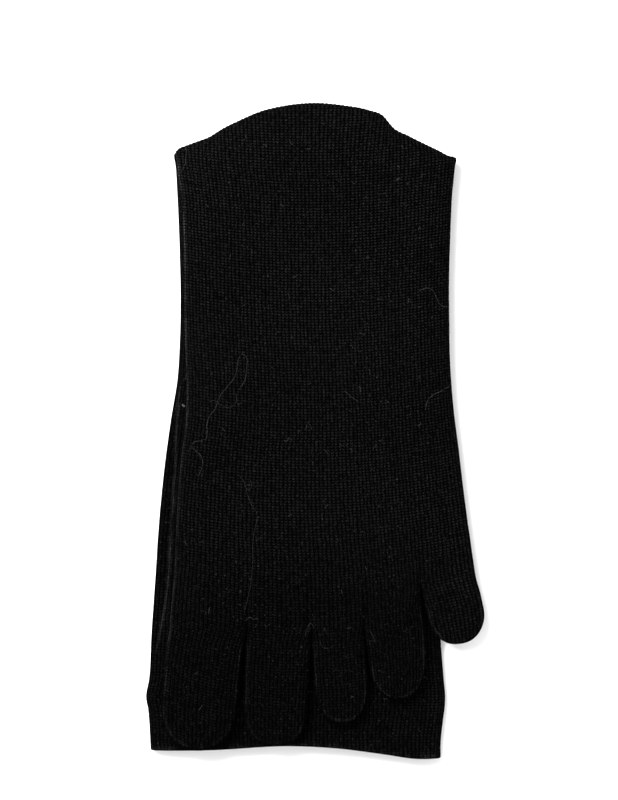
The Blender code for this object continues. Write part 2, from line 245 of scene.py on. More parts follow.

# Wear and painted highlight along the leg's crease and round the toes, a paler line at the mouth, and painted
# shade on the knit outside the toes' line
CREASE_WEAR_AND_HIGHLIGHT = 0.8
CREASE_LINE_INSIDE = 0.0003
CREASE_LINE_WIDTH = 0.0004
MOUTH_PALENESS = 0.3
MOUTH_LINE_WIDTH = 0.0006
TOE_WEAR_AND_HIGHLIGHT = 0.5
TOE_LINE = 0.915  # where the line of seam wear and painted highlight round a toe runs, from 0 at its middle to 1 on its outline
TOE_LINE_REACH = 0.05
# Painted shade: each toe's outer band is darkened where its steep side turns from the light
TOE_PAINTED_SHADE = 1.1
TOE_PAINTED_SHADE_FROM = 0.94

# Noise on the yarn, in noise cells to a metre, and the relief of the yarn
FUZZ_SCALE = 4800.0
MOTTLE_SCALE = 28.0
SPECK_SCALE = 1500.0
LINT_SCALE = 900.0
LINT_SHADE = 0.15
YARN_RELIEF = 0.00018

# The picture that the camera frames and the lint is placed on, in pixels
PICTURE_SIZE = (618, 800)
PICTURE_FOLD = (315.5, 165.5)  # the middle of the fold
FIBRE_FOLD_ROW = 166.0  # the fold's row for the places of the fibres
SMALL_LINT = 70
LINT_ACROSS = (185, 445)
LINT_DOWN = (130, 730)
LINT_STEP = (0.8, 2.2)
LINT_TURN = 0.7
LINT_WOBBLE = 0.16
LINT_RADIUS = (0.00003, 0.00006)  # in metres
LINT_HEIGHT = (-1.3, 0.9)  # over the knit, in radii
ABOVE_KNIT = 0.05  # metres over the floor, from where the fibres are dropped

# Stage lights: name, place, width and power in watts
LIGHTS = (("key", (-0.45, 0.50, 0.95), 0.50, 30.0), ("fill", (0.7, -0.6, 1.4), 1.2, 5.0))
WORLD_LIGHT = 1.2
FLOOR_SIZE = 6.0
FLOOR_DROP = 0.0002
SENSOR = 36.0

# What the frame gives
leg_low, leg_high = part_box("leg")
heel_low, heel_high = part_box("heel")
foot_low, foot_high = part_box("foot")
cuff_low, cuff_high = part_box("cuff")
FOLD_HALF_WIDTH = (heel_high.x - heel_low.x) / (FOOT_SIDES[0][2] - FOOT_SIDES[0][1])
MIDDLE_X = heel_low.x - FOOT_SIDES[0][1] * FOLD_HALF_WIDTH
HALF_WIDTH = FOLD_HALF_WIDTH / (1 + FOLD_FLARE_SHARE) + NAP
FOLD_Y = heel_high.y - HEEL_RISE
LEG_THICK = leg_high.z
FOLD_HEIGHT = (leg_high.z + foot_low.z) / 2
FOOT_THICK = foot_high.z - foot_low.z - FOOT_CROWN
FOOT_LENGTH = FOLD_Y - foot_low.y + LAYER_GAP / 2
LEG_LENGTH = FOLD_Y - leg_low.y + LAYER_GAP / 2
CUFF_HEIGHT = (FOLD_Y - LEG_LENGTH - cuff_low.y) / max(depth for _, depth in MOUTH_EDGE)
SIDE_LINES = tuple((share * LEG_LENGTH, left, right) for share, left, right in LEG_SIDES[:-1])
SIDE_LINES += tuple((LEG_LENGTH + share * CUFF_HEIGHT, left, right) for share, left, right in CUFF_SIDES)
CREASE_LINE = tuple((share * LEG_LENGTH, left) for share, left in LEG_CREASE[:-1])
CREASE_LINE += tuple((LEG_LENGTH + share * CUFF_HEIGHT, left) for share, left, _ in CUFF_SIDES)
HEEL_ON_FOOT = FOLD_Y - foot_high.y + LAYER_GAP / 2
HEEL_ON_LEG = FOLD_Y - leg_high.y + LAYER_GAP / 2

# Steps of the skins: columns to a wale and to a gusset, and outer rows to an inner one
PER_WALE = 4
PER_GUSSET = 16
INNER_EVERY = 5
FLAT_PLACES = 420
EDGE_PLACES = 40
FOLD_STEPS = 40
BEAD_STEPS = 7
MERGED = 2e-6  # points closer than this are one
SMOOTH_ANGLE = math.radians(60)
TIP_DISTANCES = (0.0045, 0.0034, 0.0026, 0.0019, 0.0013, 0.0008, 0.0004, 0.00012, 0.0)


def blend(start, end, share):
    return start + (end - start) * share


def fade(distance, reach):
    """1 at no distance, falling smoothly to 0 at the reach."""
    t = np.minimum(np.abs(distance) / reach, 1.0)
    return (1 - t) ** 2 * (1 + 2 * t)


def follow(rows, column, place):
    """A smooth curve through one column of a table, read at places in the table's first column."""
    spots = np.array([row[0] for row in rows])
    values = np.array([row[column] for row in rows])
    slopes = np.gradient(values, spots)
    k = np.clip(np.searchsorted(spots, place) - 1, 0, len(spots) - 2)
    step = spots[k + 1] - spots[k]
    t = (place - spots[k]) / step
    start = values[k] * (1 + 2 * t) + slopes[k] * step * t
    end = values[k + 1] * (3 - 2 * t) - slopes[k + 1] * step * (1 - t)
    return start * (1 - t) ** 2 + end * t**2


def edge_lift(inward, edge):
    """Height of a flattened section this far in from its outline: 0 there, and 1 past its rounded edge."""
    t = np.clip(1 - inward / edge, 0, 1)
    return np.sqrt(1 - t * t)


def dense_places(width, edge):
    """Places across a section, closer together on its rounded edges."""
    near = edge * (1 - np.cos(np.linspace(0, math.pi / 2, EDGE_PLACES)))
    flat = np.linspace(edge, width - edge, FLAT_PLACES)[1:-1]
    return np.concatenate([near, flat, (width - near)[::-1]])


def run_lengths(rows):
    """The distance run at each row, along a line of points or along each column of rows."""
    steps = np.linalg.norm(np.diff(rows, axis=0), axis=-1)
    return np.concatenate([0 * steps[:1], np.cumsum(steps, axis=0)])


def even_loop(over, beneath, columns):
    """Columns at even steps round a section, given finely from left to right over it and beneath it."""
    halves = []
    for line in (over, beneath[::-1]):
        gone = run_lengths(line)
        even = np.linspace(0, gone[-1], columns // 2 + 1)
        halves.append(np.stack([np.interp(even, gone, line[:, axis]) for axis in range(3)], axis=1)[:-1])
    return np.concatenate(halves)


def ripple(x, y):
    """Slack in the cloth: long shallow waves, in metres, the same wherever two pieces meet."""
    return sum(size * np.sin(per_x * x + per_y * y + start) for size, per_x, per_y, start in SLACK_WAVES)


def root_share(x):
    """Where along the foot the toes part, at places across from the middle of the fold."""
    spots, shares = zip(*TOE_ROOTS)
    return np.interp(x / HALF_WIDTH, spots, shares)


def half_layer(distance):
    return LAYER_GAP / 2 + (FOLD_RADIUS - LAYER_GAP / 2) * fade(distance, FOLD_REACH)


def side_slope(inward):
    """How much of its side thinning a layer has at this distance from its edge."""
    return (1 - np.clip(inward / SIDE_REACH, 0, 1)) ** 2


def sag(x, y):
    """How far the layers sink below the middle's height over the leg's thinner sides, and beyond them."""
    gone = -np.asarray(y, float)
    left = follow(CREASE_LINE, 1, gone) * HALF_WIDTH
    right = follow(SIDE_LINES, 2, gone) * HALF_WIDTH
    inward = np.minimum(x - left, right - x)
    drop = LEG_THICK - LEG_EDGE_THICK
    beyond = np.clip(-inward, 0, None)
    hanging = 2 * drop / SIDE_REACH * OVERHANG_REACH * (1 - np.exp(-beyond / OVERHANG_REACH))
    return drop * side_slope(inward) + hanging


def layer_height(x, y):
    """The height of the gap between leg and foot."""
    return FOLD_HEIGHT - sag(x, y)


def leg_top(x, y):
    """The leg's upper face. On its left a step leads down to a narrow shelf of the lower layer."""
    gone = -np.asarray(y, float)
    full = layer_height(x, y) - half_layer(y)
    crease = follow(CREASE_LINE, 1, gone) * HALF_WIDTH
    step = np.interp(gone / LEG_LENGTH, *zip(*CREASE_STEP))
    down = 1 - np.clip((x - crease) / SHELF_SLOPE + SHELF_INSIDE, 0, 1)
    return blend(full, SHELF_HEIGHT, step * down * down * (3 - 2 * down))


def groove(x, share):
    """How deep the grooves between the toes are on the foot."""
    depth = 0.0
    for crotch, root in TOE_ROOTS[1:-1]:
        up_the_foot = fade((root - share * root_share(x)) * FOOT_LENGTH, GROOVE_REACH)
        depth = depth + GROOVE_DEPTH * up_the_foot * fade(x - crotch * HALF_WIDTH, GROOVE_WIDTH)
    return depth


def foot_top(x, y, inward, across, share):
    crown = FOOT_CROWN * np.sin(np.pi * np.clip(across, 0, 1))
    thin = (FOOT_THICK - FOOT_EDGE_THICK) * side_slope(inward)
    return layer_height(x, y) + LAYER_GAP / 2 + FOOT_THICK + crown - thin - groove(x, share)


def sides_at(table, share):
    """The left and right edges of a flattened tube at a share of its length."""
    return [float(follow(table, column, share)) * HALF_WIDTH for column in (1, 2)]


def across_section(left, right, edge_thick, inset):
    """Points across a flattened tube: x, distance from the nearer side, and share of the full height."""
    edge = max(EDGE_SHARE * edge_thick - inset, LEAST_EDGE)
    places = dense_places(right - left, edge)
    inward = np.minimum(places, right - left - places)
    return left + places, inward, edge_lift(inward, edge)


def section(left, right, edge_thick, inset, y_at, top_at, bottom_at):
    """One row of a flattened tube between two faces, which are given as functions of x and y."""
    x, _, lift = across_section(left + inset, right - inset, edge_thick, inset)
    y = y_at(x)
    top = top_at(x, y) - inset
    bottom = bottom_at(x, y) + inset
    middle = (top + bottom) / 2
    over = np.stack([x, y, blend(middle, top, lift)], axis=1)
    beneath = np.stack([x, y, blend(middle, bottom, lift)], axis=1)
    return over, beneath


def foot_row(share, inset, columns):
    left, right = sides_at(FOOT_SIDES, share)

    def y_at(x):
        across = (x - left) / (right - left)
        root_x = blend(TOE_ROOTS[0][0], TOE_ROOTS[-1][0], across) * HALF_WIDTH
        return -share * root_share(root_x) * FOOT_LENGTH

    def top_at(x, y):
        inward = np.minimum(x - left, right - x)
        return foot_top(x, y, inward, (x - left) / (right - left), share)

    def bottom_at(x, y):
        return layer_height(x, y) + half_layer(y)

    return even_loop(*section(left, right, FOOT_EDGE_THICK, inset, y_at, top_at, bottom_at), columns)


def leg_section(left, right, thick, inset, columns, y_at):
    over, beneath = section(left, right, thick, inset, y_at, leg_top, lambda x, y: np.zeros(len(x)))
    # The loop is turned over, so that it goes on from the foot's loop round the fold
    return even_loop(beneath, over, columns)


def leg_row(share, inset, columns):
    thick = blend(LEG_EDGE_THICK, SHELF_HEIGHT, float(np.interp(share, *zip(*CREASE_STEP))))
    sides = sides_at(LEG_SIDES, share)
    return leg_section(*sides, thick, inset, columns, lambda x: np.full(len(x), -share * LEG_LENGTH))


def cuff_row(share, inset, columns, past=0.0):
    left, right = sides_at(CUFF_SIDES, share)

    def y_at(x):
        depth = share * CUFF_HEIGHT * follow(MOUTH_EDGE, 1, (x - left) / (right - left))
        return -LEG_LENGTH - depth - past

    return leg_section(left, right, LEG_EDGE_THICK, inset, columns, y_at)


def fold_row(turn, inset, columns):
    """A row of the ankle fold, from turn 0 at the foot to turn 1 at the leg."""
    out = math.sin(math.pi * turn)
    up = math.cos(math.pi * turn)
    flare = 1 + FOLD_FLARE_SHARE * out
    left = FOOT_SIDES[0][1] * HALF_WIDTH * flare + inset
    right = FOOT_SIDES[0][2] * HALF_WIDTH * flare - inset
    thick = blend(FOOT_EDGE_THICK, LEG_EDGE_THICK, turn)
    x, inward, lift = across_section(left, right, thick, inset)
    across = (x - left) / (right - left)
    power = 2 / HEEL_FULLNESS
    rise = blend(CORNER_RISE, HEEL_RISE, follow(HEEL_ROOF, 1, 2 * across - 1)) - inset
    level = layer_height(x, 0.0)
    full = foot_top(x, 0.0, inward + inset, across, 0.0) - level if up > 0 else level
    lines = []
    for side in ((1 + lift) / 2, (1 - lift) / 2):
        y = blend((FOLD_RADIUS + inset) * out, rise * out**power, side)
        outer_z = math.copysign(abs(up) ** power, up) * (full - inset)
        z = level + blend((FOLD_RADIUS + inset) * up, outer_z, side)
        lines.append(np.stack([x, y, z], axis=1))
    return even_loop(*lines, columns)


class Toe:
    """One toe pocket, whose root is a stretch of the foot's last row with a gusset at each crotch."""

    def __init__(self, place, columns):
        self.name, splay, self.tip_share, *sides = TOES[place]
        self.sides = [(share, *pair) for share, pair in zip(TOE_SHARES, sides)]
        self.first = place == 0
        self.last = place == len(TOES) - 1
        self.foot = foot_row(1.0, 0.0, columns)
        starts = [crotch_column(crotch, self.foot, columns) for crotch, _ in TOE_ROOTS]
        self.start, self.end = starts[place], starts[place + 1]
        left_root = self.foot[self.start]
        right_root = self.foot[self.end]
        lean = math.radians(splay)
        self.along = np.array([math.sin(lean), -math.cos(lean)])
        self.aside = np.array([math.cos(lean), math.sin(lean)])
        self.middle = (left_root + right_root)[:2] / 2
        self.half_root = (right_root - left_root)[:2] @ self.aside / 2
        tip_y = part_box(self.name)[0].y - FOLD_Y
        self.length = (self.middle[1] - tip_y) / -self.along[1]

    def foot_columns(self, columns):
        """The foot columns that the toe goes on from, in the order of its loop, and -1 along the gussets."""
        over = list(range(self.start, self.end + 1))
        beneath = [columns - k for k in reversed(over)][int(self.last) :]
        left_half = 0 if self.first else PER_GUSSET // 2
        right_gusset = 0 if self.last else PER_GUSSET - 1
        loop = [-1] * (left_half - 1) + over + [-1] * right_gusset + beneath + [-1] * left_half
        return loop[:-1] if self.first else loop

    def root_row(self, columns):
        """The root loop, on the foot's last row and down the crotches."""
        loop = np.array(self.foot_columns(columns))
        ring = np.arange(len(loop))
        known = ring[loop >= 0]
        points = self.foot[loop[known] % columns]
        return np.stack([np.interp(ring, known, line, period=len(loop)) for line in points.T], axis=1)

    def pouch(self, count, half_tip):
        """Even places round the toe's own section: across from -1 to 1, and 1 over it or -1 beneath it."""
        edge = EDGE_SHARE * FOOT_THICK
        places = dense_places(2 * half_tip, edge)
        height = edge_lift(np.minimum(places, 2 * half_tip - places), edge) * FOOT_THICK / 2
        flat = np.zeros(len(places))
        lines = [np.stack([places, flat, side * height], axis=1) for side in (1, -1)]
        loop = even_loop(*lines, count // 2 * 2)
        q = loop[:, 0] / half_tip - 1
        if count % 2:
            q = np.interp(np.arange(count) * len(q) / count, np.arange(len(q) + 1), [*q, q[0]])
        return q, np.where(np.arange(count) <= count // 2, 1.0, -1.0)

    def rows(self, inset, columns, spots, tips):
        """Rows from the root to the outline of the tip, with how close each point lies to the outline.

        The spots are shares of the way to where the tips, distances from the outline, take over.
        """
        root = self.root_row(columns)
        lengthways = (root[:, :2] - self.middle) @ self.along
        half_tip = self.half_root * (self.sides[-1][2] - self.sides[-1][1]) / 2
        q, sign = self.pouch(len(root), half_tip)
        reach = (1 - np.abs(q) ** TIP_FULLNESS).clip(0) ** (1 / TIP_FULLNESS)
        body = self.length * (1 - self.tip_share)
        rounding = self.length * self.tip_share - inset
        ends = body + rounding * reach
        edge = EDGE_SHARE * FOOT_THICK / half_tip
        rows, outlines = [], []
        runs = [lengthways + (ends - tips[0] - lengthways) * share for share in spots]
        for run in runs + [ends - distance for distance in tips]:
            done = np.clip(run / self.length, 0, 1)
            left = follow(self.sides, 1, done) * self.half_root + inset
            right = follow(self.sides, 2, done) * self.half_root - inset
            from_tip = np.clip((run - body) / rounding, 0, 1)
            radial = (np.abs(q) ** TIP_FULLNESS + from_tip**TIP_FULLNESS) ** (1 / TIP_FULLNESS)
            radial = np.minimum(radial, 1.0)
            height = edge_lift(1 - radial, edge) * sign
            sideways = blend(left, right, (1 + q) / 2)
            spot = self.middle + np.outer(run, self.along) + np.outer(sideways, self.aside)
            thick = FOOT_THICK * (1 + TOE_PUFF * np.sin(np.pi * done))
            floor = layer_height(spot[:, 0], spot[:, 1]) + LAYER_GAP / 2
            z = floor + thick / 2 + (thick / 2 - inset) * height
            row = np.stack([spot[:, 0], spot[:, 1], z], axis=1)
            keep = fade(run - lengthways, ROOT_REACH)[:, None]
            start = self.drawn_in(root, inset) + np.outer(run - lengthways, [*self.along, 0])
            rows.append(row * (1 - keep) + start * keep)
            outlines.append(radial * (1 - keep[:, 0]) * (sign > 0))
        return np.array(rows), np.array(outlines)

    def drawn_in(self, row, inset):
        """A root row moved in by this much, towards the toe's middle line and its middle height."""
        aside = (row[:, :2] - self.middle) @ self.aside
        moved = row.copy()
        moved[:, :2] -= np.outer(aside * inset / self.half_root, self.aside)
        middle_z = layer_height(row[:, 0], row[:, 1]) + LAYER_GAP / 2 + FOOT_THICK / 2
        moved[:, 2] = middle_z + (row[:, 2] - middle_z) * (1 - inset / (FOOT_THICK / 2))
        return moved


def crotch_column(crotch, foot, columns):
    """The foot column that lies nearest to a crotch and between two wales."""
    places = foot[: columns // 2 + 1, 0] / HALF_WIDTH
    return round(int(np.argmin(np.abs(places - crotch))) / PER_WALE) * PER_WALE


def outward_normals(rows, outward):
    across = np.roll(rows, -1, axis=1) - np.roll(rows, 1, axis=1)
    along = np.gradient(rows, axis=0)
    normals = np.cross(across, along) * outward
    size = np.linalg.norm(normals, axis=2, keepdims=True)
    return normals / np.maximum(size, 1e-12)


def wale_height(phase):
    """Height across one wale: 0 in the furrows between wales and 1 on the crest."""
    return np.abs(np.sin(np.pi * phase)) ** WALE_ROUNDNESS


def by_wale(seed, least, most, phase):
    """A chance number for each wale, the same in all its columns."""
    numbers = np.random.RandomState(seed).uniform(least, most, MOST_WALES)
    return numbers[np.floor(phase).astype(int) % MOST_WALES]


def wandered(rows, places, ease):
    """Rows whose wales wander a little along the tube. Places are distances along it, one for each row."""
    count = rows.shape[1]
    wales = max(2, -(-count // PER_WALE))
    starts = np.random.RandomState(41).uniform(0, 2 * math.pi, (len(WALE_WAVES), MOST_WALES))[:, :wales]
    ring = np.arange(count) / PER_WALE
    slide = np.zeros(rows.shape[:2])
    for start, (length, size) in zip(starts, WALE_WAVES):
        waves = size * np.sin(2 * math.pi * np.asarray(places)[:, None] / length + start[None, :])
        slide += np.array([np.interp(ring, np.arange(wales) + 0.5, row, period=wales) for row in waves])
    slide *= np.asarray(ease)[:, None]
    step = (np.roll(rows, -1, axis=1) - np.roll(rows, 1, axis=1)) / 2
    return rows + step * slide[:, :, None]


def stitched(rows, sizes, phase=None, outward=1, ease=1.0):
    """The outer skin with its wales raised and its slack. The crests stay where the smooth skin was."""
    phase = np.arange(rows.shape[1]) / PER_WALE if phase is None else phase
    normals = outward_normals(rows, outward)
    depth = sizes.wale_depth * ((1 - wale_height(phase)) * by_wale(7, 0.75, 1.25, phase))[None, :] * ease
    raised = rows - normals * depth[:, :, None]
    facing_up = np.clip(normals[:, :, 2], 0, 1) ** 2
    raised[:, :, 2] += facing_up * ripple(rows[:, :, 0], rows[:, :, 1])
    return raised


def wear_and_highlight_line(columns, at, width):
    """Wear and painted highlight along one line of columns, as a falling share to either side of it."""
    gap = np.abs(np.arange(columns) - at)
    gap = np.minimum(gap, columns - gap)
    return np.exp(-((gap / width) ** 2))


def side_inward(gone):
    """How many columns in from the foot's left edge its pale line of wear and painted highlight runs: further
    in over the heel's end.
    """
    return LINE_INWARD + LINE_DRIFT * fade(np.asarray(gone), DRIFT_REACH)[:, None]


def painted_shade_beyond_line(columns, inward):
    """Painted shade: darker knit where the fold turns down outside the line of wear and painted highlight."""
    spots = np.arange(columns)[None, :]
    spots = np.where(spots > columns / 2, spots - columns, spots)
    outside = np.clip((inward - 1.0 - spots) / 2.0, 0, 1) * (spots > -2 * PER_WALE)
    return LINE_PAINTED_SHADE * outside * np.clip((inward - LINE_INWARD) / 1.5, 0, 1)


def quads_of(grid):
    """What a grid holds at the four corners of each quad between its rows."""
    low, after = grid[:, :-1], grid[:, 1:]
    return np.stack([low[:-1], after[:-1], after[1:], low[1:]], axis=2).reshape(-1, *grid.shape[2:])


def closed_loops(rows):
    """Rows with their first column again at the end."""
    return np.concatenate([rows, rows[:, :1]], axis=1)


def closeness_and_shade_at(x, y, under):
    """How close the knit is, and painted light and shade: loose and lighter at the heel and towards the little
    toe, close and darker on the leg and the toes.
    """
    heel = fade(np.minimum(y, 0), HEEL_SLACK_REACH)
    outside = 1 - fade(np.maximum(x - LOOSE_FROM, 0), LOOSE_REACH)
    if under:
        return LEG_CLOSENESS - 1.2 * heel - 0.5 * outside
    toes = np.clip((-y - FOOT_LENGTH + TOES_CLOSE_FROM) / TOES_CLOSE_REACH, 0, 1)
    return toes * toes * (3 - 2 * toes) * (1 - 0.85 * outside) - 0.35 * heel


def course_place(x, y):
    """How far down the foot a course lies: the courses bow up towards the foot's sides."""
    bow = COURSE_BOW + TOE_BOW * fade(np.maximum(FOOT_LENGTH + y, 0), BOW_REACH)
    return bow * (x - BOW_MIDDLE) ** 2 - y


def select_only(context, piece):
    bpy.ops.object.select_all(action="DESELECT")
    piece.select_set(True)
    context.view_layer.objects.active = piece


def knit_mesh(name, points, faces, corners, attributes):
    """A mesh of quads with its knit map and point attributes, and its doubled points merged."""
    mesh = bpy.data.meshes.new(name)
    mesh.from_pydata(points.tolist(), [], faces.tolist())
    layer = mesh.uv_layers.new(name=KNIT_MAP)
    layer.data.foreach_set("uv", corners.astype(np.float32).ravel())
    for attribute, values in attributes.items():
        mesh.attributes.new(attribute, "FLOAT", "POINT").data.foreach_set("value", values.ravel())
    bm = bmesh.new()
    bm.from_mesh(mesh)
    bmesh.ops.remove_doubles(bm, verts=bm.verts, dist=MERGED)
    bm.to_mesh(mesh)
    bm.free()
    return mesh


def knit_piece(
    context, name, skins, wear_and_highlight, turn, painted_shade=0.0,
    bead=(), under=False, flat=False, first_wale=0.0, closed_tip=False,
):
    """Joins an outer and an inner skin into one closed wall, placed in the frame, with its knit map, its wear
    and painted highlight, and its closeness with painted light and shade.

    Both skins run the same way. The near end always gets a rim, and the far end too unless it is a closed tip.
    A bead gives extra rows that round the far rim. A flat piece counts its courses by its points' places, and
    any other along its columns, down the sock where the turn is 1 and up it where it is -1.
    """
    outer, inner = skins
    sizes = context.scene.toe_sock_sizes
    rows = np.array([*inner[::-1], *outer, *bead])
    outer_rows = slice(len(inner), len(inner) + len(outer))
    # Paleness on the outer skin: wear and painted highlight along folds and edges
    paleness = np.zeros(rows.shape[:2], np.float32)
    paleness[outer_rows] = wear_and_highlight
    # Closeness shapes the stitches and also paints light and shade into the tone
    closeness_and_shade = closeness_and_shade_at(rows[:, :, 0], rows[:, :, 1], under).astype(np.float32)
    # The painted shade is added to the outer skin's closeness, so it darkens the yarn there
    closeness_and_shade[outer_rows] += painted_shade
    if flat:
        along = course_place(rows[:, :, 0], rows[:, :, 1])
    else:
        gone = run_lengths(rows)
        start = 0.0 if under else course_place(outer[0, :, 0], outer[0, :, 1])
        along = start + turn * (gone - gone[len(inner)])
    numbers = np.arange(rows.size // 3).reshape(rows.shape[:2])
    if not closed_tip:
        numbers = np.concatenate([numbers, numbers[:1]])
        rim = turn * np.linalg.norm(rows[-1] - rows[0], axis=1)
        along = np.concatenate([along, along[-1:] + rim])
    courses = closed_loops(along / sizes.course_height)
    wales = np.broadcast_to(first_wale + np.arange(courses.shape[1]) / PER_WALE, courses.shape)
    faces = quads_of(closed_loops(numbers)).reshape(-1, 4)
    corners = quads_of(np.stack([wales, courses], axis=-1)).reshape(-1, 4, 2)
    if closed_tip:
        faces, corners = faces[:, ::-1], corners[:, ::-1]
    points = rows.reshape(-1, 3) + np.array([MIDDLE_X, FOLD_Y, 0.0])
    mesh = knit_mesh(name, points, faces, corners, {WEAR_AND_HIGHLIGHT: paleness, CLOSE_AND_SHADE: closeness_and_shade})
    piece = bpy.data.objects.new(name, mesh)
    context.scene.collection.objects.link(piece)
    select_only(context, piece)
    bpy.ops.object.shade_smooth_by_angle(angle=SMOOTH_ANGLE)
    mesh.materials.append(knit_finish())
    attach(piece, BODY)
    return piece


def maths(operation, reflected=False):
    """A method that adds one Math node for a number and what it is worked out with."""

    def method(self, *others):
        values = (*others, self) if reflected else (self, *others)
        return self.finish.node("ShaderNodeMath", {"operation": operation}, *values)

    return method


class Number:
    """A number in a material's nodes, so that shader maths is written as Python maths."""

    def __init__(self, finish, socket):
        self.finish = finish
        self.socket = socket

    __add__ = __radd__ = maths("ADD")
    __mul__ = __rmul__ = maths("MULTIPLY")
    __sub__ = maths("SUBTRACT")
    __rsub__ = maths("SUBTRACT", reflected=True)
    __pow__ = maths("POWER")
    __abs__ = maths("ABSOLUTE")
    sine = maths("SINE")
    fraction = maths("FRACT")
    floor = maths("FLOOR")


class Finish:
    """A material and the one way to add nodes to it."""

    def __init__(self, name):
        self.material = bpy.data.materials.new(name)
        self.material.use_nodes = True
        self.tree = self.material.node_tree
        self.shader = self.tree.nodes["Principled BSDF"]

    def node(self, kind, settings, *values, output=0, **named):
        """Adds a node with its settings, then the values or links of its sockets, and gives one output.

        Sockets go by their order or name, or by their identifier where that has an underscore.
        """
        made = self.tree.nodes.new(kind)
        for key, value in settings.items():
            setattr(made, key, value)
        for key, value in [*enumerate(values), *named.items()]:
            by_identifier = "_" in str(key)
            socket = next(s for s in made.inputs if s.identifier == key) if by_identifier else made.inputs[key]
            if isinstance(value, Number):
                self.tree.links.new(value.socket, socket)
            else:
                socket.default_value = value
        return Number(self, made.outputs[output])

    def feed(self, socket, number):
        self.tree.links.new(number.socket, self.shader.inputs[socket])

    def feed_mix(self, share, low, high, beyond=False):
        """Feeds the base colour with a mix of two colours, whose share may also go beyond 0 and 1."""
        settings = {"data_type": "RGBA", "clamp_factor": not beyond}
        ends = {"A_Color": (*low, 1.0), "B_Color": (*high, 1.0)}
        self.feed("Base Color", self.node("ShaderNodeMix", settings, share, output=2, **ends))


def knit_finish():
    """Matte black cotton in plain knit: a V of yarn in each stitch, no two alike, with fuzz and wear, painted
    highlight along folds and edges, and painted light and shade in its tone.
    """
    found = bpy.data.materials.get("black cotton knit")
    if found:
        return found
    colours = bpy.context.scene.toe_sock_colours
    finish = Finish("black cotton knit")
    shader = finish.shader
    wale = finish.node("ShaderNodeSeparateXYZ", {}, finish.node("ShaderNodeUVMap", {"uv_map": KNIT_MAP}))
    course = Number(finish, wale.socket.node.outputs["Y"])
    # Closeness carries painted light and shade as well as how close the knit is
    closeness_and_shade = finish.node("ShaderNodeAttribute", {"attribute_name": CLOSE_AND_SHADE}, output="Fac")
    # Wear also carries painted highlight along folds and edges
    worn_and_lit = finish.node("ShaderNodeAttribute", {"attribute_name": WEAR_AND_HIGHLIGHT}, output="Fac")

    # The legs of each V: they lean towards the wale's middle, and each wale starts at a height of its own
    inside = wale.fraction() - 0.5
    across = abs(inside) * 2.0
    column = finish.node("ShaderNodeTexWhiteNoise", {"noise_dimensions": "1D"}, W=wale.floor())
    lean = course + across * (closeness_and_shade * 0.1 + 0.38) + column * (closeness_and_shade * 0.15 + 0.08)
    rise = (lean.fraction() * math.pi).sine()
    gap = 1.0 - closeness_and_shade * 0.2
    legs = (1.0 - across ** 1.2) * (1.0 - (1.0 - across) ** 2.5 * (closeness_and_shade * 0.35 + 0.25))
    strand = (rise ** 1.8 * gap + (1.0 - gap)) * legs

    # What differs from leg to leg, along the wales, over the sock and from fibre to fibre
    side = finish.node("ShaderNodeMath", {"operation": "GREATER_THAN"}, inside, 0.0)
    stitch = finish.node("ShaderNodeCombineXYZ", {}, wale.floor(), lean.floor(), side)
    chance = finish.node("ShaderNodeTexWhiteNoise", {"noise_dimensions": "3D"}, Vector=stitch)
    strips = finish.node("ShaderNodeCombineXYZ", {}, wale * 0.8, course * 0.09, 0.0)
    streak = finish.node("ShaderNodeTexNoise", {}, Vector=strips, Scale=1.0, Detail=1.0)
    where = finish.node("ShaderNodeTexCoord", {}, output="Object")
    fuzz, mottle, specks = (
        finish.node("ShaderNodeTexNoise", {}, Vector=where, Scale=scale, Detail=0.0)
        for scale in (FUZZ_SCALE, MOTTLE_SCALE, SPECK_SCALE)
    )
    fibre = finish.node("ShaderNodeMapRange", {}, fuzz, 0.4, 0.62, 0.0, 1.0)
    loft = (chance * 0.9 + 0.55) * (fibre * 2.0 + 0.15)

    # The yarn's own brightness, darker where the knit is close and where light and shade are painted in, then
    # wear with painted highlight, and bright specks
    yarn = strand * loft * (streak * 0.4 + 0.8) * (mottle * 0.4 + 0.8) * (1.0 - closeness_and_shade * 0.38)
    bright = finish.node("ShaderNodeMapRange", {}, specks, 0.76, 0.86, 0.0, 1.6)
    pale = worn_and_lit * loft * (strand * 2.2 + 0.1) * (streak * 3.6 - 1.1)
    finish.feed_mix(yarn + pale * 2.2 + bright, colours.furrow, colours.crest, beyond=True)
    height = strand + fibre * 0.3
    bump = finish.node("ShaderNodeBump", {}, Strength=0.9, Distance=YARN_RELIEF, Height=height)
    finish.feed("Normal", bump)
    shader.inputs["Roughness"].default_value = 0.95
    shader.inputs["Specular IOR Level"].default_value = 0.0
    shader.inputs["Sheen Weight"].default_value = 0.003
    shader.inputs["Sheen Roughness"].default_value = 0.3
    return finish.material


class SockSizes(bpy.types.PropertyGroup):
    wales: IntProperty(name="Wales", description="Wales round the tube", default=152, min=80, max=240)
    wale_depth: FloatProperty(
        name="Wale depth", description="Depth of the furrows between wales", default=0.00020, unit="LENGTH"
    )
    course_height: FloatProperty(
        name="Course height", description="Length of one stitch", default=0.00096, unit="LENGTH"
    )
    row_step: FloatProperty(
        name="Row step", description="Spacing of the skin's rows", default=0.0014, unit="LENGTH"
    )
    fold_wear_and_highlight: FloatProperty(
        name="Fold wear and highlight", description="Paleness of the folds", default=1.0, min=0.0, max=3.0, subtype="FACTOR"
    )


